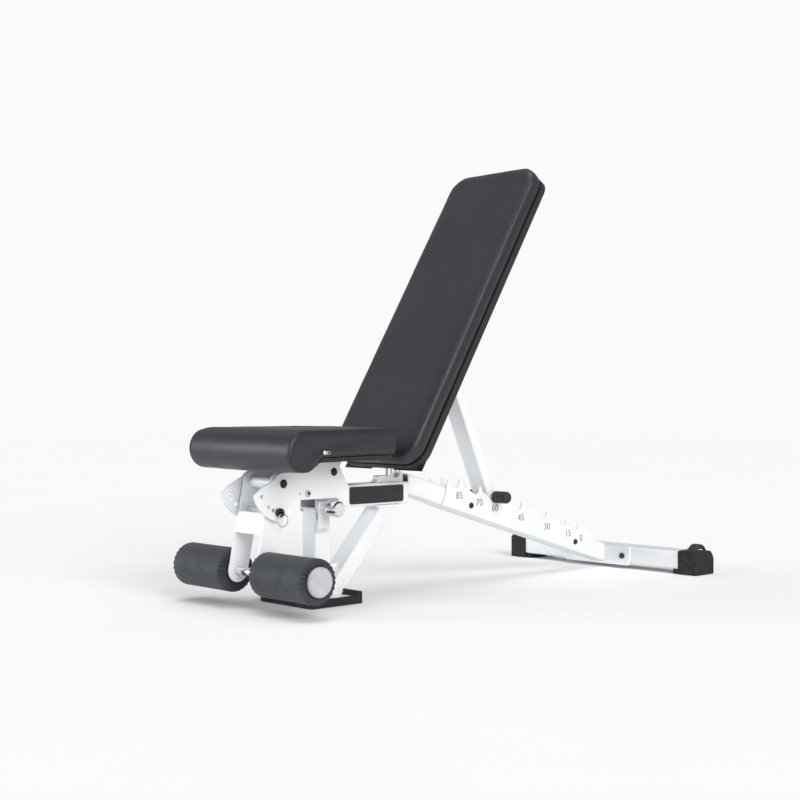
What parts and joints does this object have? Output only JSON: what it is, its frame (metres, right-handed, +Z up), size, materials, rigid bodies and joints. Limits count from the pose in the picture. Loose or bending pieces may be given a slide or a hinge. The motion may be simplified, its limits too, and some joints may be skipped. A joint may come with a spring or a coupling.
{
  "type": "adjustable weight bench",
  "caption": "Adjustable weight bench with hinged back and seat pads, ladder support, foam leg-roller arm and transport wheels.",
  "frame": {"origin": "on the floor, under the centre of the upright's rubber foot", "axes": "+X runs back along the spine to the transport wheels, +Z up, -Y is the left of a person who sits facing the rollers"},
  "size_m": [1.474, 0.686, 1.1077],
  "materials": {
    "white_paint": "gloss white powder coat",
    "vinyl": "dark grey pebbled vinyl, satin",
    "board": "black backing",
    "rubber": "matt black",
    "wheel_rubber": "matt black",
    "foam": "dark grey sleeve over foam",
    "cap_plastic": "light grey, satin",
    "chrome": "bright",
    "zinc": "satin",
    "black_steel": "black oxide",
    "black_plate": "satin black"
  },
  "bodies": {
    "frame": {"base_rubber_foot": "rubber", "base_plate": "white_paint", "upright_post": "white_paint", "brace_tube": "white_paint", "brace_gusset": "white_paint", "brace_cap_plate": "white_paint", "front_spine": "white_paint", "rear_spine": "white_paint", "label_plate": "black_plate", "side_plate_left": "white_paint", "side_plate_right": "white_paint", "front_carrier": "white_paint", "carrier_bolt": "zinc", "arm_pivot_bolt": "black_steel", "arm_pivot_washer_left": "zinc", "arm_pivot_washer_right": "zinc", "seat_pivot_bolt": "black_steel", "seat_pivot_spacer_left": "zinc", "seat_pivot_spacer_right": "zinc", "hinge_bracket": "white_paint", "back_hinge_pin": "zinc", "ladder_plate_left": "white_paint", "ladder_plate_right": "white_paint", "ladder_bolt_front": "black_steel", "ladder_bolt_rear": "black_steel", "rear_flange": "white_paint", "flange_bolt_left": "black_steel", "flange_bolt_right": "black_steel", "rear_cross_tube": "white_paint", "rear_cap_left": "rubber", "rear_cap_right": "rubber", "wheel_bracket_left": "white_paint", "wheel_bracket_right": "white_paint", "wheel_axle_left": "black_steel", "wheel_axle_right": "black_steel", "seat_pin_housing": "white_paint"},
    "seat": {"seat_pad": "vinyl", "seat_board": "board", "seat_bracket": "white_paint"},
    "seat_pin": {"seat_pin": "chrome"},
    "back": {"back_pad": "vinyl", "back_board": "board", "back_bottom_plate": "board", "back_rail_left": "white_paint", "back_rail_right": "white_paint", "strut_pivot_pin": "zinc"},
    "strut": {"strut_tube": "white_paint", "crossbar": "chrome", "grip_left": "rubber", "grip_right": "rubber"},
    "leg_arm": {"leg_arm": "white_paint", "roller_axle": "chrome"},
    "arm_pin": {"arm_pin": "black_steel"},
    "pull_ring": {"pull_ring": "zinc"},
    "roller_left": {"foam_roller_left": "foam", "roller_cap_left": "cap_plastic"},
    "roller_right": {"foam_roller_right": "foam", "roller_cap_right": "cap_plastic"},
    "wheel_left": {"transport_wheel_left": "wheel_rubber"},
    "wheel_right": {"transport_wheel_right": "wheel_rubber"}
  },
  "joints": [
    {"name": "back_pivot", "type": "hinge", "parent": "frame", "child": "back", "pos_m": [0.278, 0, 0.336], "axis": [0, -1, 0], "range_deg": [0, 26.6]},
    {"name": "strut_pivot", "type": "hinge", "parent": "back", "child": "strut", "pos_m": [0.45061, 0, 0.60188], "axis": [0, -1, 0], "range_deg": [-9.5, 0]},
    {"name": "seat_pivot", "type": "hinge", "parent": "frame", "child": "seat", "pos_m": [0.0283, 0, 0.3155], "axis": [0, 1, 0], "range_deg": [0, 25]},
    {"name": "seat_pin_pull", "type": "slide", "parent": "frame", "child": "seat_pin", "axis": [0, -1, 0], "range_m": [0, 0.012], "stiffness_N_per_m": 600, "springref_m": -0.004},
    {"name": "arm_pivot", "type": "hinge", "parent": "frame", "child": "leg_arm", "pos_m": [-0.1243, 0, 0.2931], "axis": [0, 1, 0], "range_deg": [0, 54.4]},
    {"name": "arm_pin_pull", "type": "slide", "parent": "frame", "child": "arm_pin", "axis": [0, -1, 0], "range_m": [0, 0.012], "stiffness_N_per_m": 500, "springref_m": -0.004},
    {"name": "ring_swing", "type": "hinge", "parent": "arm_pin", "child": "pull_ring", "pos_m": [-0.13823, -0.0813, 0.22556], "axis": [-1, 0, 0], "range_deg": [0, 80]},
    {"name": "roller_left_spin", "type": "hinge", "parent": "leg_arm", "child": "roller_left", "pos_m": [-0.16817, 0, 0.08671], "axis": [0, 1, 0], "continuous": true},
    {"name": "roller_right_spin", "type": "hinge", "parent": "leg_arm", "child": "roller_right", "pos_m": [-0.16817, 0, 0.08671], "axis": [0, 1, 0], "continuous": true},
    {"name": "wheel_left_spin", "type": "hinge", "parent": "frame", "child": "wheel_left", "pos_m": [1.2218, -0.2625, 0.043], "axis": [0, 1, 0], "continuous": true},
    {"name": "wheel_right_spin", "type": "hinge", "parent": "frame", "child": "wheel_right", "pos_m": [1.2218, 0.2625, 0.043], "axis": [0, 1, 0], "continuous": true}
  ],
  "couplings": [
    {"joint": "strut_pivot", "follows": "back_pivot", "ratio": -0.35}
  ]
}
